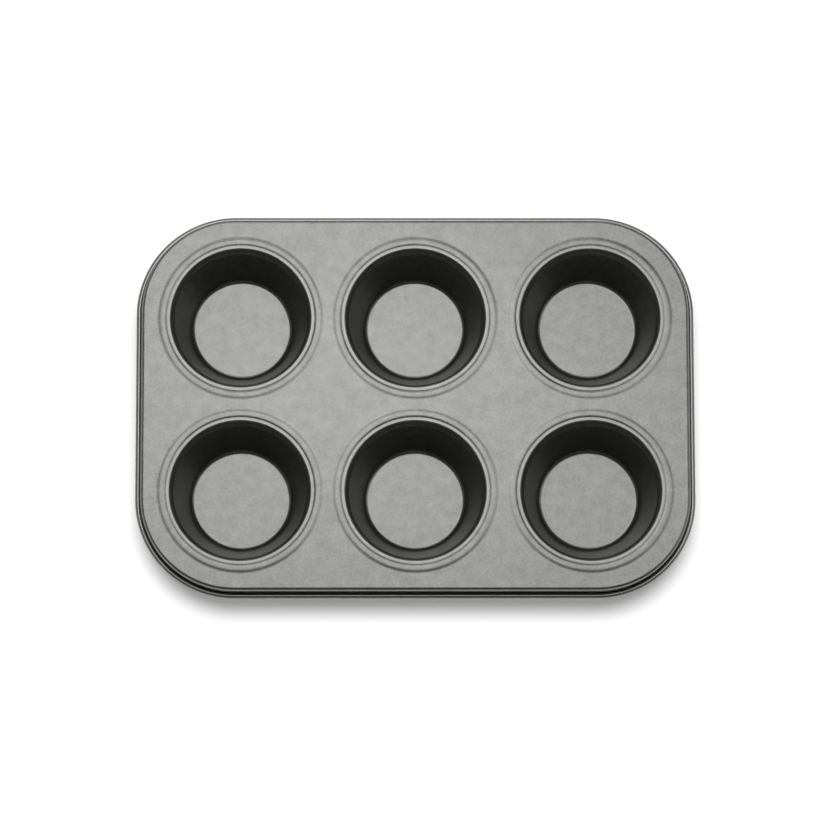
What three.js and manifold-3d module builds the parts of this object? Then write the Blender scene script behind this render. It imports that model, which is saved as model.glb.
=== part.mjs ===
// A muffin pan in coated steel sheet, in millimetres with +Z up.
// A pressed frame plate carries the drawn cups, and its edge is rolled round a stiffening wire.
// The origin lies under the middle of the pan, on the plane that the cups' bases stand on.
// X runs along the rows of cups, and Y runs from the front row to the back row.
import * as THREE from "three";
import { mergeVertices, toCreasedNormals } from "three/addons/utils/BufferGeometryUtils.js";
import Module from "manifold-3d";

const wasm = await Module();
wasm.setup();

// Driving dimensions of the sheet and its seams
const SHEET = 0.6; // thickness of the steel, in the frame and in the cups
const SEAM_CLEARANCE = 0.15; // left between two pieces that meet in a seam

// Driving dimensions of the layout
const COLUMNS = 3;
const ROWS = 2;
const BRIDGE = 4.8; // flat stretch between the raised rings of neighbouring cups
const SIDE_BORDER = 7.95; // from the raised ring of an outer cup to the outside of the skirt
const FRONT_BORDER = 8.5; // the same at the front and the back
const CORNER_RADIUS = 45; // of the skirt's outside, seen from above

// Driving dimensions of a cup
const CUP_HEIGHT = 33; // from the resting plane to the top of the lip
const BASE_DIAMETER = 45.4; // flat part of the floor
const FLOOR_BEND = 2.1; // inside radius between floor and wall
const LIP_INSIDE_DIAMETER = 68.6; // where the lip's flat ring begins
const LIP_WIDTH = 1.15; // flat ring of the lip
const LIP_BEND = 0.8; // rounded shoulder from the lip down to the wall
const LOCK_OVERLAP = 0.45; // how far the locking bead reaches under the frame
const LOCK_UPPER_RUN = 0.7; // along the wall, from the bead's start to its crest
const LOCK_LOWER_RUN = 1.7; // along the wall, from the crest to the bead's end

// Driving dimensions of a cup's seat in the frame
const HOLE_GAP = 0.2; // between the cup's wall and the hole that it passes through
const LEDGE_DROP = 0.51; // from the plate down to the ledge that carries the lip
const RING_RISE = 0.24; // raised ring round the ledge, above the plate
const RING_WIDTH = 2.15; // flat crest of the raised ring
const RING_INNER_RUN = 0.25; // slope from the ledge up to the crest
const RING_OUTER_RUN = 1.3; // slope from the crest down to the plate

// Driving dimensions of the rim
const PLATE_EDGE_BEND = 1.5; // outside radius between plate and skirt
const RIM_DROP = 9; // from the plate's top to the wire's axis
const RIM_FLANGE = 0.75; // flat run from the foot of the skirt to the rolled edge
const WIRE_DIAMETER = 1.2;
const CURL_GAP = 0.55; // between the end of the rolled edge and the skirt

// Fineness of the round forms
const ROUND_STEPS = 28; // sides of a cup
const CORNER_STEPS = 3; // half the number of facets at each corner of the pan
const ARC_STEP = 45; // largest angle between neighbouring points of a section, in degrees
const WIRE_SIDES = 8;
const MERGE_TOLERANCE = 1e-4;
const CREASE = THREE.MathUtils.degToRad(35);

// Heights, counted from the resting plane
const HALF_SHEET = SHEET / 2;
const LEDGE_TOP = CUP_HEIGHT - SHEET - SEAM_CLEARANCE;
const PLATE_TOP = LEDGE_TOP + LEDGE_DROP;
const PLATE_MIDDLE = PLATE_TOP - HALF_SHEET;
const WIRE_HEIGHT = PLATE_TOP - RIM_DROP;

const at = (x, y) => new THREE.Vector2(x, y);
const { degToRad, radToDeg } = THREE.MathUtils;

// The cup's wall is the straight line that touches both the lip's shoulder and the floor's bend.
const shoulder = {
  centre: at(LIP_INSIDE_DIAMETER / 2, CUP_HEIGHT - LIP_BEND),
  radius: LIP_BEND - HALF_SHEET,
};
const foot = {
  centre: at(BASE_DIAMETER / 2, SHEET + FLOOR_BEND),
  radius: FLOOR_BEND + HALF_SHEET,
};
const span = shoulder.centre.clone().sub(foot.centre);
const lean = Math.atan2(span.x, span.y) - Math.asin((shoulder.radius + foot.radius) / span.length());
const wallOut = at(Math.cos(lean), -Math.sin(lean)); // out of the cup, square to the wall
const wallTop = shoulder.centre.clone().addScaledVector(wallOut, -shoulder.radius);

// Radius of the wall's middle at a height, and of its outside.
const wallAt = (height) => wallTop.x + (height - wallTop.y) * Math.tan(lean);
const wallOutsideAt = (height) => wallAt(height) + HALF_SHEET / Math.cos(lean);

// Radii of the seat, outward from the hole, at the middle of the sheet.
const holeRadius = wallOutsideAt(LEDGE_TOP) + HOLE_GAP;
const lipEdge = LIP_INSIDE_DIAMETER / 2 + LIP_WIDTH;
const ledgeEnd = lipEdge + SEAM_CLEARANCE + HALF_SHEET;
const crestStart = ledgeEnd + RING_INNER_RUN;
const crestEnd = crestStart + RING_WIDTH;
const ringEnd = crestEnd + RING_OUTER_RUN;

// Layout of the pan, seen from above.
const cupPitch = 2 * ringEnd + BRIDGE;
const halfLength = ((COLUMNS - 1) * cupPitch) / 2 + ringEnd + SIDE_BORDER; // to the outside of the skirt
const halfWidth = ((ROWS - 1) * cupPitch) / 2 + ringEnd + FRONT_BORDER;

// The rolled edge holds the wire beside the skirt. Its points run outward from the skirt's outside, and up.
const curlInside = WIRE_DIAMETER / 2 + SEAM_CLEARANCE;
const skirtFoot = at(curlInside, WIRE_HEIGHT); // centre of the bend from the skirt to the flange
const wireCentre = at(curlInside + RIM_FLANGE, WIRE_HEIGHT);
const curlEnd = radToDeg(Math.acos((CURL_GAP - wireCentre.x) / (curlInside + SHEET)));

// Satin non-stick coating, and the bare steel of the wire
const COATING = { color: "#8e8f8b", roughness: 0.42, metalness: 0.85 };
const BARE_STEEL = { color: "#a9abad", roughness: 0.35, metalness: 1 };

// Points along an arc of a section, its angles in degrees.
function arc(centre, radius, from, to) {
  const steps = Math.ceil(Math.abs(to - from) / ARC_STEP);
  return Array.from({ length: steps + 1 }, (_, i) => {
    const angle = degToRad(from + ((to - from) * i) / steps);
    return at(centre.x + radius * Math.cos(angle), centre.y + radius * Math.sin(angle));
  });
}

// The section of a bent sheet as one loop, half a sheet to each side of its middle line.
function sheetSection(middle) {
  const directions = middle.slice(1).map((point, i) => point.clone().sub(middle[i]).normalize());
  const leftOf = (direction) => at(-direction.y, direction.x);
  const offsets = middle.map((_, i) => {
    const before = leftOf(directions[Math.max(i - 1, 0)]);
    const after = leftOf(directions[Math.min(i, directions.length - 1)]);
    return before.clone().add(after).multiplyScalar(HALF_SHEET / (1 + before.dot(after)));
  });
  const right = middle.map((point, i) => point.clone().sub(offsets[i]));
  const left = middle.map((point, i) => point.clone().add(offsets[i]));
  return [...right, ...left.reverse()];
}

// A section turned about a vertical axis.
function turned(section) {
  return new THREE.LatheGeometry(section, ROUND_STEPS).rotateX(Math.PI / 2);
}

// The pan's outline seen from above, moved outward from the skirt's outside.
function outline(outward) {
  const x = halfLength - CORNER_RADIUS;
  const y = halfWidth - CORNER_RADIUS;
  const radius = CORNER_RADIUS + outward;
  const quarter = Math.PI / 2;
  return new THREE.Path()
    .absarc(x, y, radius, 0, quarter)
    .absarc(-x, y, radius, quarter, 2 * quarter)
    .absarc(-x, -y, radius, 2 * quarter, 3 * quarter)
    .absarc(x, -y, radius, 3 * quarter, 4 * quarter)
    .getPoints(CORNER_STEPS);
}

// A closed section of (outward, height) points carried round the outline.
function carriedRound(section) {
  const rings = section.map((point) => outline(point.x).map((p) => [p.x, p.y, point.y]));
  const count = rings[0].length;
  const index = [];
  rings.forEach((_, j) => {
    const here = j * count;
    const next = ((j + 1) % rings.length) * count;
    for (let i = 0; i < count; i++) {
      const k = (i + 1) % count;
      index.push(here + i, here + k, next + k, here + i, next + k, next + i);
    }
  });
  const geometry = new THREE.BufferGeometry();
  geometry.setAttribute("position", new THREE.Float32BufferAttribute(rings.flat(2), 3));
  return geometry.setIndex(index);
}

// A closed geometry as a solid that can be joined to others.
function solidOf(geometry) {
  geometry.deleteAttribute("normal");
  geometry.deleteAttribute("uv");
  const merged = mergeVertices(geometry, MERGE_TOLERANCE);
  const triVerts = new Uint32Array(merged.index.array);
  const vertProperties = merged.attributes.position.array;
  return new wasm.Manifold(new wasm.Mesh({ numProp: 3, vertProperties, triVerts }));
}

// A joined solid as a geometry again.
function geometryOf(solid) {
  const { vertProperties, triVerts } = solid.getMesh();
  const geometry = new THREE.BufferGeometry();
  geometry.setAttribute("position", new THREE.BufferAttribute(vertProperties, 3));
  return geometry.setIndex(new THREE.BufferAttribute(triVerts, 1));
}

// A drawn cup: flat floor, leaning wall, and the flat lip and locking bead that hold the frame between them.
function cupGeometry() {
  const down = at(-Math.sin(lean), -Math.cos(lean));
  const beadTop = LEDGE_TOP - SHEET - SEAM_CLEARANCE;
  const start = at(wallAt(beadTop), beadTop);
  const belowCrest = start.clone().addScaledVector(down, LOCK_UPPER_RUN);
  const swell = (holeRadius + LOCK_OVERLAP - wallOutsideAt(belowCrest.y)) / Math.cos(lean);
  const crest = belowCrest.clone().addScaledVector(wallOut, swell);
  const end = belowCrest.clone().addScaledVector(down, LOCK_LOWER_RUN);
  const middle = [
    at(0, HALF_SHEET),
    ...arc(foot.centre, foot.radius, -90, -radToDeg(lean)),
    end,
    crest,
    start,
    ...arc(shoulder.centre, shoulder.radius, 180 - radToDeg(lean), 90),
    at(lipEdge, CUP_HEIGHT - HALF_SHEET),
  ];
  return turned(sheetSection(middle));
}

// The seat: a ledge under the lip, with a raised ring round it that falls back to the plate.
function seatGeometry(lap) {
  const middle = [
    at(holeRadius, PLATE_MIDDLE - LEDGE_DROP),
    at(ledgeEnd, PLATE_MIDDLE - LEDGE_DROP),
    at(crestStart, PLATE_MIDDLE + RING_RISE),
    at(crestEnd, PLATE_MIDDLE + RING_RISE),
    at(ringEnd, PLATE_MIDDLE),
    at(ringEnd + lap, PLATE_MIDDLE),
  ];
  const section = sheetSection(middle);
  return turned([...section, section[0]]);
}

// The plate's edge: bent down into the skirt, turned out into a narrow flange and rolled over the wire.
function edgeGeometry(lap) {
  const bendCentre = at(-PLATE_EDGE_BEND, PLATE_TOP - PLATE_EDGE_BEND);
  const middle = [
    at(bendCentre.x - lap, PLATE_MIDDLE),
    ...arc(bendCentre, PLATE_EDGE_BEND - HALF_SHEET, 90, 0),
    ...arc(skirtFoot, curlInside + HALF_SHEET, 180, 270),
    ...arc(wireCentre, curlInside + HALF_SHEET, 270, 360 + curlEnd),
  ];
  return carriedRound(sheetSection(middle));
}

// The flat web between the seats and the edge.
function webGeometry(cupCentres, lap) {
  const shape = new THREE.Shape(outline(-PLATE_EDGE_BEND - lap));
  shape.holes = cupCentres.map(({ x, y }) => {
    const round = new THREE.Path().absarc(x, y, ringEnd + lap, 0, 2 * Math.PI);
    return new THREE.Path(round.getPoints(ROUND_STEPS / 2));
  });
  const web = new THREE.ExtrudeGeometry(shape, { depth: SHEET, bevelEnabled: false });
  return web.translate(0, 0, PLATE_TOP - SHEET);
}

// The frame plate is one sheet, so its web, edge and seats lap over each other and are joined.
function frameGeometry(cupCentres) {
  const web = solidOf(webGeometry(cupCentres, SHEET));
  const edge = solidOf(edgeGeometry(2 * SHEET));
  const seats = cupCentres.map(({ x, y }) => solidOf(seatGeometry(2 * SHEET).translate(x, y, 0)));
  return geometryOf(seats.reduce((joined, seat) => joined.add(seat), web.add(edge)));
}

// The wire that the edge is rolled round, a closed ring.
function wireGeometry() {
  const section = Array.from({ length: WIRE_SIDES }, (_, i) => {
    const angle = (2 * Math.PI * i) / WIRE_SIDES;
    return wireCentre.clone().add(at(Math.cos(angle), Math.sin(angle)).multiplyScalar(WIRE_DIAMETER / 2));
  });
  return carriedRound(section);
}

function piece(name, geometry, finish) {
  const mesh = new THREE.Mesh(toCreasedNormals(geometry, CREASE), new THREE.MeshStandardMaterial(finish));
  mesh.name = name;
  return mesh;
}

// Cups are numbered from the front left, along each row.
const cupCentres = [];
for (let row = 0; row < ROWS; row++) {
  for (let column = 0; column < COLUMNS; column++) {
    cupCentres.push(at((column - (COLUMNS - 1) / 2) * cupPitch, (row - (ROWS - 1) / 2) * cupPitch));
  }
}

const pan = new THREE.Group();
pan.add(piece("frame_plate", frameGeometry(cupCentres), COATING));
cupCentres.forEach(({ x, y }, i) => {
  const cup = piece(`cup_${i + 1}`, cupGeometry(), COATING);
  cup.position.set(x, y, 0);
  pan.add(cup);
});
pan.add(piece("rim_wire", wireGeometry(), BARE_STEEL));

export default pan;
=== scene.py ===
"""A muffin pan in coated steel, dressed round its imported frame.

The pan is bent sheet and drawn wire. A cup, a seat or the rolled edge is drawn as the middle line of its
section, thickened to the sheet, and turned about a cup's axis or carried round the pan's outline. The
pan's and the camera's lengths are in millimetres, and become metres where a mesh or the camera is written.
The studio's are in metres.
"""

import json
import logging
import math
from dataclasses import dataclass, field
from enum import Enum, IntEnum
from typing import Any, Callable, Sequence

import bmesh
import bpy
from mathutils import Matrix, Vector


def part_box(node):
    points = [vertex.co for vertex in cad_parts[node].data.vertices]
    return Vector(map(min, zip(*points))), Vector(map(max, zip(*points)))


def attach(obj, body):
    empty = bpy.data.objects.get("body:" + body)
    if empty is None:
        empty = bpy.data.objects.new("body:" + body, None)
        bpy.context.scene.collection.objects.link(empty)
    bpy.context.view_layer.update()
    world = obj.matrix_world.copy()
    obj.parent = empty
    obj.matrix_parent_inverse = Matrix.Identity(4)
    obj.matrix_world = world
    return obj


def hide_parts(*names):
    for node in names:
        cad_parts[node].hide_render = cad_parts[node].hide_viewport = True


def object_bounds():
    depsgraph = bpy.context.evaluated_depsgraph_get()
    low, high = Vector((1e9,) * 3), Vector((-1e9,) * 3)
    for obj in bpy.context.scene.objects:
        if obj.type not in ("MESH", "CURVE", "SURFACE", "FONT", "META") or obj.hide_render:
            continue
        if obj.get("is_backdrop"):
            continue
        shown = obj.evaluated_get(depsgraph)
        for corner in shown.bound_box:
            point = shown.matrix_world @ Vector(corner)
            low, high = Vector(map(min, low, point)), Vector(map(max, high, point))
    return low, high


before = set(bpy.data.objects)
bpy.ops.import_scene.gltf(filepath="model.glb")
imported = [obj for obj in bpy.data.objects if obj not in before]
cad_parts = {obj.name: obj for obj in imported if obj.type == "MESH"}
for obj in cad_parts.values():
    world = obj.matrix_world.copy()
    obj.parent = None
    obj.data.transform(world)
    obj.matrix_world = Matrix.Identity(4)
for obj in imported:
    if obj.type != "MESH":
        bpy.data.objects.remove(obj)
CAD_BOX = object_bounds()

LOG = logging.getLogger("muffin_pan")
MM = 0.001
IMAGE_PIXELS = 828
BODY = "root"
CUP_NODES = "cup_"  # how the names of the cups' nodes begin
WEAR_AND_HIGHLIGHT = "wear_and_highlight"  # the vertex layer that says how far the coating is polished by handling and carries a painted highlight
WHITE = "#ffffff"

# The sheet and its seams
SHEET = 0.6
SEAM_CLEARANCE = 0.15
SEAM_LINE = 0.03  # the lip is pressed this close to its seat's wall
EDGE_BEND = 0.05  # the coating rounds the corners of a cut edge this far
TIGHTEST_BEND = 0.05  # inside radius that the coating leaves in a sharp fold

# How finely the meshes are drawn
ARC_STEP = math.radians(9)
FEWEST_ARC_STEPS = 2
ROLL_STEP = math.radians(80)
ROUND_STEPS = 144
LONGEST_STRAIGHT = 6.0
GUARD = 0.2  # points this close to a bend keep the shading of flat stretches flat
SHORTEST_GUARDED = 3 * GUARD  # a shorter stretch has no room for guard points
TOUCH = 1e-5  # points closer than this are one point

NOISE_LOW = 0.3  # a noise texture keeps to this range, apart from a few spots
NOISE_HIGH = 0.7

Ring = list[bmesh.types.BMVert]
Placing = Callable[[Vector], list[Vector]]
WearingAndHighlight = Callable[[Vector], float]


class Slot(Enum):
    """The record's material slots."""

    FRAME = "frame_coating"
    CUP = "cup_coating"
    WIRE = "wire_steel"


class ColourMix(IntEnum):
    """Places of a mix node's sockets for colours, which share their names with its other sockets."""

    SHARE = 0
    FIRST = 6
    SECOND = 7
    RESULT = 2


class Operand(IntEnum):
    """Places of a math node's two numbers, which share one name."""

    FIRST = 0
    SECOND = 1


def linear(colour: str) -> tuple[float, float, float, float]:
    """Turns an sRGB colour into the linear one that a shader takes, by the standard curve.

    Args:
        colour: Six hex digits after a hash sign.

    Returns:
        Linear red, green, blue and an alpha of 1.
    """
    shares = [int(colour[i:i + 2], 16) / 255 for i in (1, 3, 5)]
    red, green, blue = (s / 12.92 if s <= 0.04045 else ((s + 0.055) / 1.055) ** 2.4 for s in shares)
    return red, green, blue, 1.0


def add_node(
    tree: bpy.types.NodeTree, kind: str, inputs: dict[str | int, Any], **settings: Any
) -> bpy.types.Node:
    """Adds a node, and sets or links its inputs.

    Args:
        tree: The material's or world's node tree.
        kind: Blender's name for the node's type.
        inputs: Values by socket name or place. An output socket as the value is linked.
        settings: The node's own properties.

    Returns:
        The new node.
    """
    node = tree.nodes.new(kind)
    for name, value in settings.items():
        setattr(node, name, value)
    for socket, value in inputs.items():
        if isinstance(value, bpy.types.NodeSocket):
            tree.links.new(value, node.inputs[socket])
        else:
            node.inputs[socket].default_value = value
    return node


def empty_tree(owner: bpy.types.Material | bpy.types.World) -> bpy.types.NodeTree:
    """Gives a material or world an empty node tree."""
    owner.use_nodes = True
    owner.node_tree.nodes.clear()
    return owner.node_tree


# Finishes


@dataclass(frozen=True)
class Pattern:
    """An irregular pattern over a surface.

    Attributes:
        size_mm: Size of its blobs.
        octaves: How many finer layers it carries.
    """

    size_mm: float
    octaves: float

    @property
    def per_metre(self) -> float:
        """The texture's scale in coordinates that are metres."""
        return 1 / (self.size_mm * MM)


@dataclass(frozen=True)
class SatinCoating:
    """Non-stick coating with metal flake, sprayed on steel and baked.

    The flake lies flat in a dark binder, so the eye gets a satin mirror: pale where it shows a lamp, nearly
    black where it shows the dark. The spray leaves a fine orange peel and a faint mottle of richer and
    poorer flake, and pressing leaves the sheet slightly uneven. A paler colour along the lip and the roll's
    crest stands for polish from handling, and is also a painted highlight that brightens those edges.

    Attributes:
        name: The material's name.
        rich: Colour where the flake lies thick.
        poor: Colour where it lies thin.
        burnished_highlight: Colour where handling has polished it, which is also a painted highlight on the
            edges.
        mottle: The spray's mottle.
        grain: The flake's speckle, drawn coarser than real flake so that it shows.
        grain_share: How much of the speckle is mixed into the mottle.
        peel: The orange peel.
        peel_depth_mm: Depth of the orange peel.
        wave: The sheet's unevenness.
        wave_depth_mm: Depth of that unevenness.
        sheen_low: Roughness where the coating is smoothest.
        sheen_high: Roughness where it is dullest.
        flake: How far the coating acts as a metal.
    """

    name: str = "satin_non_stick_coating_sprayed"
    rich: str = "#898986"
    poor: str = "#747472"
    # paler colour for polish from handling, which also serves as a painted highlight on the lip and the
    # roll's crest
    burnished_highlight: str = "#9e9f9c"
    mottle: Pattern = Pattern(5.0, 1.0)
    grain: Pattern = Pattern(1.3, 1.0)
    grain_share: float = 0.6
    peel: Pattern = Pattern(0.8, 2.0)
    peel_depth_mm: float = 0.0015
    wave: Pattern = Pattern(26.0, 0.0)
    wave_depth_mm: float = 0.03
    sheen_low: float = 0.28
    sheen_high: float = 0.32
    flake: float = 0.9

    def material(self) -> bpy.types.Material:
        """Builds the material once, and hands out the same one after that.

        Returns:
            The coating's material.
        """
        made = bpy.data.materials.get(self.name)
        if made:
            return made
        made = bpy.data.materials.new(self.name)
        tree = empty_tree(made)
        place = add_node(tree, "ShaderNodeTexCoord", {}).outputs["Object"]
        mottle, grain, peel, wave = (
            add_node(
                tree, "ShaderNodeTexNoise",
                {"Vector": place, "Scale": pattern.per_metre, "Detail": pattern.octaves},
            ).outputs["Fac"]
            for pattern in (self.mottle, self.grain, self.peel, self.wave)
        )
        blend = add_node(
            tree, "ShaderNodeMix", {"Factor": self.grain_share, "A": mottle, "B": grain}, data_type="FLOAT"
        )
        richness = add_node(
            tree, "ShaderNodeMapRange",
            {"Value": blend.outputs["Result"], "From Min": NOISE_LOW, "From Max": NOISE_HIGH},
        )
        coat = add_node(
            tree, "ShaderNodeMix",
            {
                ColourMix.SHARE: richness.outputs["Result"],
                ColourMix.FIRST: linear(self.poor),
                ColourMix.SECOND: linear(self.rich),
            },
            data_type="RGBA",
        )
        # the paler colour on the lip and the roll's crest is polish from handling and also a painted
        # highlight
        wear_and_highlight = add_node(tree, "ShaderNodeAttribute", {}, attribute_name=WEAR_AND_HIGHLIGHT)
        colour = add_node(
            tree, "ShaderNodeMix",
            {
                ColourMix.SHARE: wear_and_highlight.outputs["Fac"],
                ColourMix.FIRST: coat.outputs[ColourMix.RESULT],
                ColourMix.SECOND: linear(self.burnished_highlight),
            },
            data_type="RGBA",
        )
        sheen = add_node(
            tree, "ShaderNodeMapRange",
            {
                "Value": grain, "From Min": NOISE_LOW, "From Max": NOISE_HIGH,
                "To Min": self.sheen_low, "To Max": self.sheen_high,
            },
        )
        uneven = add_node(
            tree, "ShaderNodeBump",
            {"Height": wave, "Strength": 1.0, "Distance": self.wave_depth_mm * MM},
        )
        peeled = add_node(
            tree, "ShaderNodeBump",
            {
                "Height": peel, "Strength": 1.0, "Distance": self.peel_depth_mm * MM,
                "Normal": uneven.outputs["Normal"],
            },
        )
        surface = add_node(
            tree, "ShaderNodeBsdfPrincipled",
            {
                "Base Color": colour.outputs[ColourMix.RESULT],
                "Metallic": self.flake,
                "Roughness": sheen.outputs["Result"],
                "Normal": peeled.outputs["Normal"],
            },
        )
        add_node(tree, "ShaderNodeOutputMaterial", {"Surface": surface.outputs["BSDF"]})
        return made


@dataclass(frozen=True)
class DrawnWire:
    """Bare mild steel wire, drawn through a die.

    The die leaves a bright, slightly brushed steel with faint streaks.

    Attributes:
        name: The material's name.
        bright: Colour of the polished steel.
        dull: Colour in the streaks.
        streak: The streaks, drawn coarser than the die's marks so that they show.
        roughness: Roughness of drawn steel.
    """

    name: str = "mild_steel_wire_drawn"
    bright: str = "#c4c5c6"
    dull: str = "#9fa0a1"
    streak: Pattern = Pattern(0.4, 2.0)
    roughness: float = 0.32

    def material(self) -> bpy.types.Material:
        """Builds the wire's material.

        Returns:
            The material.
        """
        made = bpy.data.materials.new(self.name)
        tree = empty_tree(made)
        place = add_node(tree, "ShaderNodeTexCoord", {}).outputs["Object"]
        streak = add_node(
            tree, "ShaderNodeTexNoise",
            {"Vector": place, "Scale": self.streak.per_metre, "Detail": self.streak.octaves},
        )
        colour = add_node(
            tree, "ShaderNodeMix",
            {
                ColourMix.SHARE: streak.outputs["Fac"],
                ColourMix.FIRST: linear(self.dull),
                ColourMix.SECOND: linear(self.bright),
            },
            data_type="RGBA",
        )
        surface = add_node(
            tree, "ShaderNodeBsdfPrincipled",
            {
                "Base Color": colour.outputs[ColourMix.RESULT],
                "Metallic": 1.0,
                "Roughness": self.roughness,
            },
        )
        add_node(tree, "ShaderNodeOutputMaterial", {"Surface": surface.outputs["BSDF"]})
        return made


# Sections of bent sheet


@dataclass(frozen=True)
class Corner:
    """A corner of a section's middle line.

    Attributes:
        across: Distance from the axis, or outward from the skirt.
        height: Height above the resting plane.
        bend: Radius that the middle of the sheet is bent to here.
    """

    across: float
    height: float
    bend: float = 0.0

    @property
    def point(self) -> Vector:
        """The corner before it is bent."""
        return Vector((self.across, self.height))


def arc(centre: Vector, radius: float, start: float, end: float) -> list[Vector]:
    """Points along an arc.

    Args:
        centre: The arc's centre.
        radius: Its radius.
        start: Its first angle, in radians.
        end: Its last angle, in radians.

    Returns:
        The points, both ends included.
    """
    steps = max(FEWEST_ARC_STEPS, math.ceil(abs(end - start) / ARC_STEP))
    angles = [start + (end - start) * i / steps for i in range(steps + 1)]
    return [centre + Vector((math.cos(a), math.sin(a))) * radius for a in angles]


def straight(start: Vector, end: Vector) -> list[Vector]:
    """Points between the ends of a straight stretch, with one guard point close to each end.

    Args:
        start: The stretch's first end.
        end: Its last end.

    Returns:
        The points, without the ends. A short stretch has none.
    """
    length = (end - start).length
    if length < SHORTEST_GUARDED:
        return []
    inner = length - 2 * GUARD
    count = math.ceil(inner / LONGEST_STRAIGHT)
    along = [GUARD + inner * i / count for i in range(count + 1)]
    return [start.lerp(end, a / length) for a in along]


def rounded_line(corners: Sequence[Corner]) -> list[Vector]:
    """Draws a line through corners that are each rounded to their bend.

    Args:
        corners: The corners in order, the first and last without a bend.

    Returns:
        The line's points.
    """
    line = [corners[0].point]
    for before, corner, after in zip(corners, corners[1:], corners[2:]):
        arriving = (corner.point - before.point).normalized()
        leaving = (after.point - corner.point).normalized()
        turn = arriving.angle_signed(leaving)
        side = Vector((arriving.y, -arriving.x)) * math.copysign(1, turn)
        first = corner.point - arriving * corner.bend * math.tan(abs(turn) / 2)
        start = math.atan2(-side.y, -side.x)
        bend = arc(first + side * corner.bend, corner.bend, start, start - turn)
        line += straight(line[-1], first) + bend[(line[-1] - first).length < TOUCH:]
    return line + straight(line[-1], corners[-1].point) + [corners[-1].point]


def sheet_face(corners: Sequence[Corner], side: int) -> list[Vector]:
    """Draws one face of a bent sheet.

    Args:
        corners: Corners of the sheet's middle line.
        side: 1 for the face to the left of the line, -1 for the face to its right.

    Returns:
        The face's points.
    """
    ways = [(b.point - a.point).normalized() for a, b in zip(corners, corners[1:])]
    lefts = [Vector((-way.y, way.x)) for way in ways]
    moved = []
    for corner, before, after in zip(corners, [lefts[0], *lefts], [*lefts, lefts[-1]]):
        shift = (before + after) * side * SHEET / 2 / (1 + before.dot(after))
        turn = before.x * after.y - before.y * after.x
        bend = corner.bend - math.copysign(SHEET / 2, turn * side)
        moved.append(Corner(*(corner.point + shift), max(bend, TIGHTEST_BEND)))
    return rounded_line(moved)


def sheet_outline(corners: Sequence[Corner]) -> list[Vector]:
    """Goes along one face of a sheet to its free edge, round the edge, and back along the other face.

    Args:
        corners: Corners of the sheet's middle line, of which the last lies on the free edge.

    Returns:
        The outline's points.
    """
    way = (corners[-1].point - corners[-2].point).normalized()
    left = Vector((-way.y, way.x))
    inner = corners[-1].point - way * EDGE_BEND
    inset = left * (SHEET / 2 - EDGE_BEND)
    facing = math.atan2(left.y, left.x)
    upper = arc(inner + inset, EDGE_BEND, facing, facing - math.pi / 2)
    lower = arc(inner - inset, EDGE_BEND, facing - math.pi / 2, facing - math.pi)
    flat = [*corners[:-1], Corner(*inner)]
    return sheet_face(flat, 1) + upper[1:] + lower[:-1] + sheet_face(flat, -1)[::-1]


def rolled(centre: Vector, radius: float, start: float, end: float) -> list[Corner]:
    """Corners whose bends join into one roll of the sheet.

    Args:
        centre: The roll's axis.
        radius: Radius of the sheet's middle.
        start: Angle where the roll begins, in radians.
        end: Angle where it ends.

    Returns:
        The corners.
    """
    count = math.ceil((end - start) / ROLL_STEP)
    half = (end - start) / count / 2
    reach = radius / math.cos(half)
    angles = [start + half * (2 * i + 1) for i in range(count)]
    return [Corner(centre.x + reach * math.cos(a), centre.y + reach * math.sin(a), radius) for a in angles]


def circle(centre: Vector) -> Placing:
    """Makes the placing that turns a section about a vertical axis.

    Args:
        centre: Where the axis stands.

    Returns:
        A function from a section point to its ring.
    """
    turns = [2 * math.pi * i / ROUND_STEPS for i in range(ROUND_STEPS)]
    ways = [Vector((math.cos(a), math.sin(a))) for a in turns]

    def ring(point: Vector) -> list[Vector]:
        """The ring of one section point."""
        return [Vector((*(centre + way * point.x), point.y)) for way in ways]

    return ring


def unmarked(point: Vector) -> float:
    """Polish and painted highlight of a stretch whose coating is whole: none."""
    return 0.0


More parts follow.
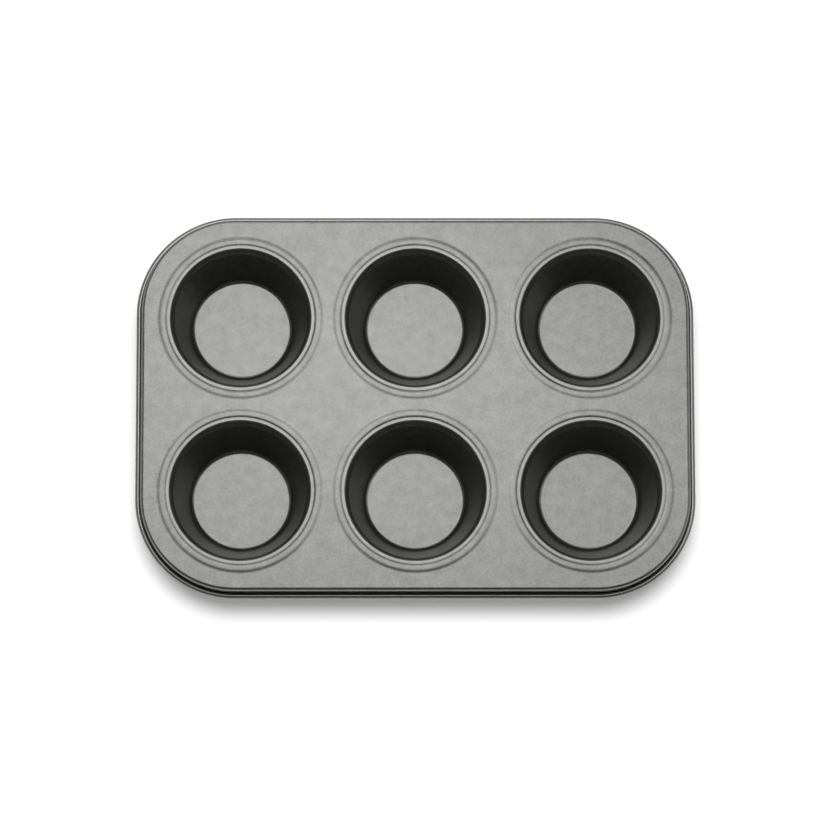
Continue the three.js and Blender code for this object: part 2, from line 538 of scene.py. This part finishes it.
class SheetMesh:
    """Gathers rings of vertices and joins them into one closed mesh."""

    def __init__(self) -> None:
        """Starts an empty mesh with a layer for polished coating and painted highlights."""
        self.cage = bmesh.new()
        self.worn_and_highlit = self.cage.verts.layers.float.new(WEAR_AND_HIGHLIGHT)

    def strip(self, outline: Sequence[Vector], placing: Placing, wear_and_highlight: WearingAndHighlight = unmarked) -> list[Ring]:
        """Carries an outline round and joins each ring to the next.

        Args:
            outline: The section's points.
            placing: Gives the ring of points, in millimetres, that one section point makes.
            wear_and_highlight: Gives how far the coating is polished and painted with a highlight at a
                section point.

        Returns:
            The rings, in the outline's order.
        """
        rings = [[self.cage.verts.new(p * MM) for p in placing(point)] for point in outline]
        for ring, point in zip(rings, outline):
            for vertex in ring:
                vertex[self.worn_and_highlit] = wear_and_highlight(point)
        for here, there in zip(rings, rings[1:]):
            self.join(here, there)
        return rings

    def join(self, here: Ring, there: Ring) -> None:
        """Joins two closed rings of the same count with quads."""
        for i, vertex in enumerate(here):
            self.cage.faces.new((here[i - 1], vertex, there[i], there[i - 1]))

    def close(self, ring: Ring, centre: Vector) -> None:
        """Closes a ring with a fan of triangles round a centre."""
        hub = self.cage.verts.new(centre * MM)
        for i, vertex in enumerate(ring):
            self.cage.faces.new((ring[i - 1], vertex, hub))

    def fill(self, loops: Sequence[Ring]) -> None:
        """Fills the flat web between an outer loop and the loops of its holes."""
        edges = [self.cage.edges.get((loop[i - 1], loop[i])) for loop in loops for i in range(len(loop))]
        bmesh.ops.triangle_fill(self.cage, use_beauty=True, edges=edges)

    def finish(self, name: str, material: bpy.types.Material) -> bpy.types.Object:
        """Writes the mesh as a smooth-shaded object.

        Args:
            name: The piece's name.
            material: Its finish.

        Returns:
            The object, linked to the scene.
        """
        bmesh.ops.recalc_face_normals(self.cage, faces=self.cage.faces)
        for face in self.cage.faces:
            face.smooth = True
        mesh = bpy.data.meshes.new(name)
        self.cage.to_mesh(mesh)
        self.cage.free()
        mesh.materials.append(material)
        made = bpy.data.objects.new(name, mesh)
        bpy.context.scene.collection.objects.link(made)
        return made


def seat_piece(piece: bpy.types.Object, node: str, slot: Slot) -> None:
    """Lets a piece stand for its node, on the pan's only body.

    Args:
        piece: The piece.
        node: The node that it replaces.
        slot: The record's slot for its finish; not used.
    """
    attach(piece, BODY)
    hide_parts(node)
    LOG.info("%s stands for %s with %d faces", piece.name, node, len(piece.data.polygons))


# Sub-assemblies


@dataclass
class Cup:
    """A drawn cup: flat floor, leaning wall, locking bead under the frame and flat lip over it.

    Attributes:
        node: The cup's node in the frame.
        coating: Its finish.
        base_diameter: Width of the flat floor, where its bend begins.
        floor_bend: Inside radius between the floor and the wall.
        lip_width: How far the flat lip reaches over the frame.
        lip_bend: Outside radius from the wall to the lip.
        lock_overlap: How far the bead reaches under the frame, past the hole's edge.
        lock_upper_run: Length of the bead above its crest, down the wall.
        lock_lower_run: Length of the bead below its crest.
        lock_bend: Bend at the bead's top and crest.
        lock_foot_bend: Bend where the bead runs out into the wall.
        hole_gap: Room between the wall and the frame's hole.
        lip_wear_and_highlight: How far handling has polished the lip's inner half, which also paints a
            highlight along it.
        centre: Where the cup's axis stands.
        lip_edge: Radius of the lip's outer edge.
        height: Height of the lip above the resting plane.
    """

    node: str
    coating: SatinCoating
    base_diameter: float = 45.4
    floor_bend: float = 2.1
    lip_width: float = 1.15
    lip_bend: float = 0.8
    lock_overlap: float = 0.45
    lock_upper_run: float = 0.7
    lock_lower_run: float = 3.8
    lock_bend: float = 0.45
    lock_foot_bend: float = 0.9
    hole_gap: float = 0.2
    lip_wear_and_highlight: float = 0.4
    centre: Vector = field(init=False)
    lip_edge: float = field(init=False)
    height: float = field(init=False)

    def __post_init__(self) -> None:
        """Reads the cup's place, lip and height from the frame."""
        low, high = (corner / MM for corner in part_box(self.node))
        self.centre = ((low + high) / 2).to_2d()
        self.lip_edge = (high.x - low.x) / 2
        self.height = high.z

    @property
    def shoulder(self) -> float:
        """Bend of the sheet's middle from the wall to the lip."""
        return self.lip_bend - SHEET / 2

    @property
    def foot(self) -> float:
        """Bend of the sheet's middle from the floor to the wall."""
        return self.floor_bend + SHEET / 2

    @property
    def lean(self) -> float:
        """Angle of the wall from upright, for a wall that touches the foot's and the shoulder's bends."""
        across = self.lip_edge - self.lip_width - self.base_diameter / 2
        up = self.height - self.lip_bend - SHEET - self.floor_bend
        return math.atan2(across, up) - math.asin((self.shoulder + self.foot) / math.hypot(across, up))

    def wall(self, height: float) -> float:
        """Radius of the wall's middle at a height."""
        top_radius = self.lip_edge - self.lip_width - self.shoulder * math.cos(self.lean)
        top_height = self.height - self.lip_bend + self.shoulder * math.sin(self.lean)
        return top_radius + (height - top_height) * math.tan(self.lean)

    def outside(self, height: float) -> float:
        """Radius of the wall's outside at a height."""
        return self.wall(height) + SHEET / 2 / math.cos(self.lean)

    @property
    def ledge_top(self) -> float:
        """Height of the frame's ledge under the lip."""
        return self.height - SHEET - SEAM_CLEARANCE

    @property
    def hole_radius(self) -> float:
        """Radius of the frame's hole round the wall."""
        return self.outside(self.ledge_top) + self.hole_gap

    def section(self) -> list[Corner]:
        """Draws the cup's middle line.

        Returns:
            Its corners, from the middle of the floor to the lip.
        """
        down = Vector((-math.sin(self.lean), -math.cos(self.lean)))
        out = Vector((math.cos(self.lean), -math.sin(self.lean)))
        bead_top = self.ledge_top - SHEET - SEAM_CLEARANCE
        start = Vector((self.wall(bead_top), bead_top))
        below_crest = start + down * self.lock_upper_run
        reach = self.hole_radius + self.lock_overlap - self.outside(below_crest.y)
        crest = below_crest + out * reach / math.cos(self.lean)
        end = below_crest + down * self.lock_lower_run
        floor = SHEET / 2
        lip = self.height - SHEET / 2
        return [
            Corner(0, floor),
            Corner(self.wall(floor), floor, self.foot),
            Corner(*end, self.lock_foot_bend),
            Corner(*crest, self.lock_bend),
            Corner(*start, self.lock_bend),
            Corner(self.wall(lip), lip, self.shoulder),
            Corner(self.lip_edge + SEAM_CLEARANCE - SEAM_LINE, lip),
        ]

    def wear_and_highlight(self, point: Vector) -> float:
        """How far the coating is polished and painted with a highlight at a section point: a little along
        the lip's inner half.
        """
        inner = point.x < self.lip_edge - self.lip_width / 2
        return self.lip_wear_and_highlight if inner and point.y > self.height - SHEET / 2 else 0.0

    def build(self) -> bpy.types.Object:
        """Turns the cup's section about its axis.

        Returns:
            The cup.
        """
        mesh = SheetMesh()
        outline = sheet_outline(self.section())
        rings = mesh.strip(outline[1:-1], circle(self.centre), self.wear_and_highlight)
        mesh.close(rings[0], Vector((*self.centre, outline[0].y)))
        mesh.close(rings[-1], Vector((*self.centre, outline[-1].y)))
        made = mesh.finish(f"{self.node}_drawn", self.coating.material())
        seat_piece(made, self.node, Slot.CUP)
        return made


@dataclass
class RimWire:
    """The wire that the frame's edge is rolled round.

    Attributes:
        finish: The wire's finish.
        node: Its node in the frame.
        corner_radius: Radius of the skirt's corners, seen from above.
        flange: Width of the flat sheet between the skirt and the roll.
        sides: Sides of the wire's round section.
        corner_steps: Steps round each corner of the pan.
        longest_side: Longest step along a straight side.
        diameter: The wire's diameter.
        height: Height of its axis.
        skirt: Half the skirt's length and width.
    """

    finish: DrawnWire
    node: str = "rim_wire"
    corner_radius: float = 45.0
    flange: float = 0.75
    sides: int = 16
    corner_steps: int = 30
    longest_side: float = 8.0
    diameter: float = field(init=False)
    height: float = field(init=False)
    skirt: Vector = field(init=False)

    def __post_init__(self) -> None:
        """Reads the wire's diameter and height, and half the skirt's size inside it, from the frame."""
        low, high = (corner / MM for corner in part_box(self.node))
        self.diameter = high.z - low.z
        self.height = (low.z + high.z) / 2
        self.skirt = high.to_2d() - Vector((1, 1)) * (self.outward + self.diameter / 2)

    @property
    def curl_inside(self) -> float:
        """Inside radius of the sheet that is rolled round the wire."""
        return self.diameter / 2 + SEAM_CLEARANCE

    @property
    def outward(self) -> float:
        """Distance of the wire's axis from the skirt's outside."""
        return self.curl_inside + self.flange

    def around(self, point: Vector) -> list[Vector]:
        """The ring that a section point makes when it is carried round the pan's outline.

        Args:
            point: Distance outward from the skirt, and height.

        Returns:
            The ring's points, anticlockwise.
        """
        ring = []
        core = self.skirt - Vector((1, 1)) * self.corner_radius
        radius = self.corner_radius + point.x
        for quarter, (x, y) in enumerate(((1, 1), (-1, 1), (-1, -1), (1, -1))):
            centre = Vector((x * core.x, y * core.y))
            first = quarter * math.pi / 2
            for step in range(self.corner_steps + 1):
                angle = first + step / self.corner_steps * math.pi / 2
                way = Vector((math.cos(angle), math.sin(angle)))
                ring.append(Vector((*(centre + way * radius), point.y)))
            side = 2 * (core.y if quarter % 2 else core.x)
            along = Vector((-math.cos(first), -math.sin(first), 0))
            count = math.ceil(side / self.longest_side)
            corner = ring[-1]
            ring += [corner + along * side * i / count for i in range(1, count)]
        return ring

    def build(self) -> bpy.types.Object:
        """Carries the wire's round section along the rim.

        Returns:
            The wire.
        """
        mesh = SheetMesh()
        centre = Vector((self.outward, self.height))
        turns = [2 * math.pi * i / self.sides for i in range(self.sides)]
        section = [centre + Vector((math.cos(a), math.sin(a))) * self.diameter / 2 for a in turns]
        rings = mesh.strip(section, self.around)
        mesh.join(rings[-1], rings[0])
        made = mesh.finish(f"{self.node}_ring", self.finish.material())
        seat_piece(made, self.node, Slot.WIRE)
        return made


@dataclass
class FramePlate:
    """The pressed frame: a flat web, a seat for each cup, a skirt, and an edge rolled round the wire.

    Attributes:
        cups: The cups that it holds.
        wire: The wire in its edge.
        coating: Its finish.
        node: Its node in the frame.
        ledge_drop: How far a seat's ledge lies below the web.
        ring_rise: Height of the raised ring round a seat.
        ring_span: Width of the ring, from the ledge's wall to the web.
        ring_outer_run: Width of the ring's outer slope.
        ring_outer_bend: Bend at the foot and the top of that slope.
        ring_inner_run: Width of the gentle slope down to the seat's brink.
        ring_inner_drop: Fall of that slope.
        ring_inner_bend: Bend at its top.
        brink_run: How far the seat's wall leans.
        brink_bend: Bend at the brink. It is coined sharper than the sheet would bend by itself.
        edge_bend: Outside radius from the web to the skirt.
        curl_gap: Gap between the roll's free edge and the skirt.
        apron: Flat sheet that a seat and the edge carry with them, to meet the web.
        worn_highlight_depth: How far down from the roll's top the coating is polished and painted with a
            highlight.
    """

    cups: list[Cup]
    wire: RimWire
    coating: SatinCoating
    node: str = "frame_plate"
    ledge_drop: float = 0.51
    ring_rise: float = 0.2
    ring_span: float = 3.7
    ring_outer_run: float = 1.3
    ring_outer_bend: float = 5.0
    ring_inner_run: float = 0.65
    ring_inner_drop: float = 0.14
    ring_inner_bend: float = 2.0
    brink_run: float = 0.02
    brink_bend: float = -0.25
    edge_bend: float = 1.5
    curl_gap: float = 0.55
    apron: float = 1.0
    worn_highlight_depth: float = 0.15

    @property
    def middle(self) -> float:
        """Height of the middle of the web's sheet."""
        return self.cups[0].ledge_top + self.ledge_drop - SHEET / 2

    def seat_section(self, cup: Cup) -> list[Corner]:
        """Draws a seat's middle line.

        Args:
            cup: The cup that sits here.

        Returns:
            Its corners, from the web in to the hole.
        """
        ledge_end = cup.lip_edge + SEAM_CLEARANCE + SHEET / 2
        ring_end = ledge_end + self.ring_span
        crest = self.middle + self.ring_rise
        brink = ledge_end + self.brink_run
        return [
            Corner(ring_end + self.apron, self.middle),
            Corner(ring_end, self.middle, self.ring_outer_bend),
            Corner(ring_end - self.ring_outer_run, crest, self.ring_outer_bend),
            Corner(brink + self.ring_inner_run, crest, self.ring_inner_bend),
            Corner(brink, crest - self.ring_inner_drop, self.brink_bend),
            Corner(ledge_end, self.middle - self.ledge_drop),
            Corner(cup.hole_radius, self.middle - self.ledge_drop),
        ]

    def edge_section(self) -> list[Corner]:
        """Draws the edge's middle line.

        Returns:
            Its corners, from the web over the bend, down the skirt, along the flange and round the wire.
        """
        skirt = -SHEET / 2
        inside = self.wire.curl_inside
        reach = inside + SHEET / 2
        roll = Vector((self.wire.outward, self.wire.height))
        lowest = 1.5 * math.pi
        tip = 2 * math.pi + math.acos((self.curl_gap - roll.x) / (inside + SHEET))
        end = roll + Vector((math.cos(tip), math.sin(tip))) * reach
        return [
            Corner(-self.edge_bend - self.apron, self.middle),
            Corner(skirt, self.middle, self.edge_bend - SHEET / 2),
            Corner(skirt, roll.y - reach, reach),
            *rolled(roll, reach, lowest, tip),
            Corner(*end),
        ]

    def wear_and_highlight(self, point: Vector) -> float:
        """How far the coating is polished and painted with a highlight at an edge's section point: fully
        along the top of the roll.
        """
        crest = self.wire.height + self.wire.curl_inside + SHEET
        return float(point.x > 0 and point.y > crest - self.worn_highlight_depth)

    def build(self) -> bpy.types.Object:
        """Joins the web, the seats and the rolled edge into one sheet.

        Returns:
            The frame plate.
        """
        mesh = SheetMesh()
        edge = mesh.strip(sheet_outline(self.edge_section()), self.wire.around, self.wear_and_highlight)
        seats = [mesh.strip(sheet_outline(self.seat_section(c)), circle(c.centre)) for c in self.cups]
        mesh.fill([edge[0], *(seat[-1] for seat in seats)])
        mesh.fill([edge[-1], *(seat[0] for seat in seats)])
        made = mesh.finish(f"{self.node}_pressed", self.coating.material())
        seat_piece(made, self.node, Slot.FRAME)
        return made


# Studio


class Lighting(Enum):
    """What a lamp does to the floor."""

    LIT = "INCLUDE"
    SPARED = "EXCLUDE"


@dataclass(frozen=True)
class SoftBox:
    """A soft lamp.

    Attributes:
        name: The lamp's name.
        size: Width and depth in metres.
        place: Where its middle is, in metres.
        radiance: Its brightness, where 1 is a white that just fills the picture's range.
    """

    name: str
    size: tuple[float, float]
    place: tuple[float, float, float]
    radiance: float

    def build(self) -> bpy.types.Object:
        """Hangs the lamp, turned to the pan.

        Returns:
            The lamp.
        """
        data = bpy.data.lights.new(self.name, "AREA")
        data.shape = "RECTANGLE"
        data.size, data.size_y = self.size
        data.energy = self.radiance * math.pi * self.size[0] * self.size[1]
        lamp = bpy.data.objects.new(self.name, data)
        lamp.location = self.place
        lamp.rotation_mode = "QUATERNION"
        lamp.rotation_quaternion = Vector(self.place).to_track_quat("Z", "Y")
        lamp.visible_camera = False
        bpy.context.scene.collection.objects.link(lamp)
        return lamp


@dataclass(frozen=True)
class Studio:
    """A white floor under soft lamps, with dimmer panels all round.

    The pan is a mirror, so from above it shows the lamps, and from the sides the panels.

    Attributes:
        paper: Colour of the floor's paper.
        floor_half: Half the floor's width in metres.
        floor_drop_mm: How far the floor lies below the pan, so that the two don't share a plane.
        floor_roughness: Roughness of matt paper.
        glow: Light added to the paper where the eye or a reflection sees it.
        ambient: Brightness of the room.
        floor_lamp_radiance: Brightness of the floor's own lamp, as white paper shows it.
        floor_lamp_angle: Width of that lamp in degrees, which sets how soft the shadow is.
        floor_lamp_from: Direction that it shines from.
        lamps: The soft lamps that light the pan and spare the floor.
    """

    paper: str = "#f4f4f4"
    floor_half: float = 5.0
    floor_drop_mm: float = 0.05
    floor_roughness: float = 0.9
    glow: float = 0.27
    ambient: float = 0.04
    floor_lamp_radiance: float = 0.8
    floor_lamp_angle: float = 26.0
    floor_lamp_from: tuple[float, float, float] = (-0.01, 0.17, 1.0)
    lamps: tuple[SoftBox, ...] = (
        SoftBox("overhead_softbox", (1.0, 0.5), (0.0, 0.15, 1.15), 1.85),
        SoftBox("overhead_core", (0.3, 0.22), (-0.04, 0.24, 1.12), 1.65),
        SoftBox("back_softbox", (0.75, 0.7), (-0.15, 0.72, 1.15), 1.1),
        SoftBox("right_fill", (0.6, 0.8), (0.82, 0.0, 1.05), 0.5),
        SoftBox("back_panel", (3.6, 1.1), (0.0, 2.0, 0.85), 0.6),
        SoftBox("left_panel", (3.6, 1.1), (-2.0, 0.0, 0.85), 0.6),
        SoftBox("right_panel", (3.6, 1.1), (2.0, 0.0, 0.85), 0.6),
        SoftBox("front_panel", (3.6, 0.9), (0.0, -2.0, 0.7), 0.3),
    )

    def build(self) -> None:
        """Builds the floor, the lamps and the room's dim light."""
        floor = self.build_floor()
        spared = self.floor_group("lamps_spare_the_floor", floor, Lighting.SPARED)
        for lamp in self.lamps:
            lamp.build().light_linking.receiver_collection = spared
        alone = self.floor_group("lamp_for_the_floor", floor, Lighting.LIT)
        self.build_floor_lamp().light_linking.receiver_collection = alone
        world = bpy.data.worlds.new("studio_room")
        bpy.context.scene.world = world
        tree = empty_tree(world)
        room = add_node(tree, "ShaderNodeBackground", {"Color": linear(WHITE), "Strength": self.ambient})
        add_node(tree, "ShaderNodeOutputWorld", {"Surface": room.outputs["Background"]})
        bpy.context.scene.view_settings.view_transform = "Standard"

    def floor_group(self, name: str, floor: bpy.types.Object, lighting: Lighting) -> bpy.types.Collection:
        """Makes the group that tells a lamp to light the floor alone, or everything but the floor.

        Args:
            name: The group's name.
            floor: The floor.
            lighting: What the lamp does to the floor.

        Returns:
            The group.
        """
        group = bpy.data.collections.new(name)
        group.objects.link(floor)
        group.collection_objects[0].light_linking.link_state = lighting.value
        return group

    def build_floor_lamp(self) -> bpy.types.Object:
        """Hangs the far lamp that gives the floor its white and the pan its short shadow.

        Returns:
            The lamp.
        """
        data = bpy.data.lights.new("floor_lamp", "SUN")
        data.angle = math.radians(self.floor_lamp_angle)
        data.energy = self.floor_lamp_radiance * math.pi
        lamp = bpy.data.objects.new("floor_lamp", data)
        lamp.rotation_mode = "QUATERNION"
        lamp.rotation_quaternion = Vector(self.floor_lamp_from).to_track_quat("Z", "Y")
        bpy.context.scene.collection.objects.link(lamp)
        return lamp

    def build_floor(self) -> bpy.types.Object:
        """Lays the white floor, which keeps the pan's shadow.

        Returns:
            The floor.
        """
        half = self.floor_half
        corners = [(-half, -half, 0), (half, -half, 0), (half, half, 0), (-half, half, 0)]
        mesh = bpy.data.meshes.new("studio_floor")
        mesh.from_pydata(corners, [], [range(len(corners))])
        mesh.materials.append(self.floor_material())
        floor = bpy.data.objects.new("studio_floor", mesh)
        floor.location.z = -self.floor_drop_mm * MM
        bpy.context.scene.collection.objects.link(floor)
        floor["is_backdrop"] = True
        return floor

    def floor_material(self) -> bpy.types.Material:
        """Matt white paper, lifted to a clean white where the eye or a reflection sees it.

        Returns:
            The material.
        """
        made = bpy.data.materials.new("white_paper_matt")
        tree = empty_tree(made)
        path = add_node(tree, "ShaderNodeLightPath", {}).outputs
        seen = path["Is Camera Ray"]
        for way in ("Is Glossy Ray", "Is Transmission Ray"):
            seen = add_node(
                tree, "ShaderNodeMath",
                {Operand.FIRST: seen, Operand.SECOND: path[way]},
                operation="MAXIMUM",
            ).outputs["Value"]
        lift = add_node(
            tree, "ShaderNodeMath",
            {Operand.FIRST: seen, Operand.SECOND: self.glow},
            operation="MULTIPLY",
        )
        surface = add_node(
            tree, "ShaderNodeBsdfPrincipled",
            {
                "Base Color": linear(self.paper),
                "Roughness": self.floor_roughness,
                "Specular IOR Level": 0.0,
                "Emission Color": linear(WHITE),
                "Emission Strength": lift.outputs["Value"],
            },
        )
        add_node(tree, "ShaderNodeOutputMaterial", {"Surface": surface.outputs["BSDF"]})
        return made


@dataclass(frozen=True)
class PortraitCamera:
    """The photograph's viewpoint: almost straight down, from a little in front.

    Attributes:
        azimuth: Degrees round the pan from its front.
        elevation: Degrees above the horizon.
        roll: Degrees that the picture is turned.
        distance: From the target to the lens.
        target: The point in the middle of the picture.
        focal_pixels: Focal length in pixels of the picture.
        sensor: Width of the camera's sensor.
    """

    azimuth: float = -3.02
    elevation: float = 80.27
    roll: float = 2.97
    distance: float = 2180.0
    target: tuple[float, float, float] = (-0.72, -4.96, 33.0)
    focal_pixels: float = 4550.0
    sensor: float = 36.0

    def build(self) -> bpy.types.Object:
        """Sets up the camera and makes it the scene's own.

        Returns:
            The camera.
        """
        azimuth, elevation, roll = (math.radians(a) for a in (self.azimuth, self.elevation, self.roll))
        flat = math.cos(elevation)
        back = Vector((math.sin(azimuth) * flat, -math.cos(azimuth) * flat, math.sin(elevation)))
        level = Vector((math.cos(azimuth), math.sin(azimuth), 0))
        upright = back.cross(level)
        right = math.cos(roll) * level + math.sin(roll) * upright
        up = math.cos(roll) * upright - math.sin(roll) * level
        eye = (Vector(self.target) + back * self.distance) * MM
        data = bpy.data.cameras.new("portrait_camera")
        data.sensor_width = self.sensor
        data.lens = self.sensor * self.focal_pixels / IMAGE_PIXELS
        camera = bpy.data.objects.new("portrait_camera", data)
        camera.matrix_world = Matrix.Translation(eye) @ Matrix((right, up, back)).transposed().to_4x4()
        bpy.context.scene.collection.objects.link(camera)
        bpy.context.scene.camera = camera
        return camera


def write_sizes() -> None:
    """Puts the CAD box and the dressed pan's box into JSON text as plain lists of metres, which nothing
    keeps.
    """
    boxes = {"cad": CAD_BOX, "visual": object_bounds()}
    json.dumps({name: [list(c) for c in box] for name, box in boxes.items()})


def main() -> None:
    """Builds the pan, its studio and its camera, in that order."""
    logging.basicConfig(level=logging.INFO, format="%(name)s: %(message)s")
    coating = SatinCoating()
    nodes = sorted(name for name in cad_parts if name.startswith(CUP_NODES))
    cups = [Cup(node, coating) for node in nodes]
    wire = RimWire(DrawnWire())
    plate = FramePlate(cups, wire, coating)
    for piece in (*cups, wire, plate):
        piece.build()
    Studio().build()
    PortraitCamera().build()
    write_sizes()


if __name__ == "__main__":
    main()
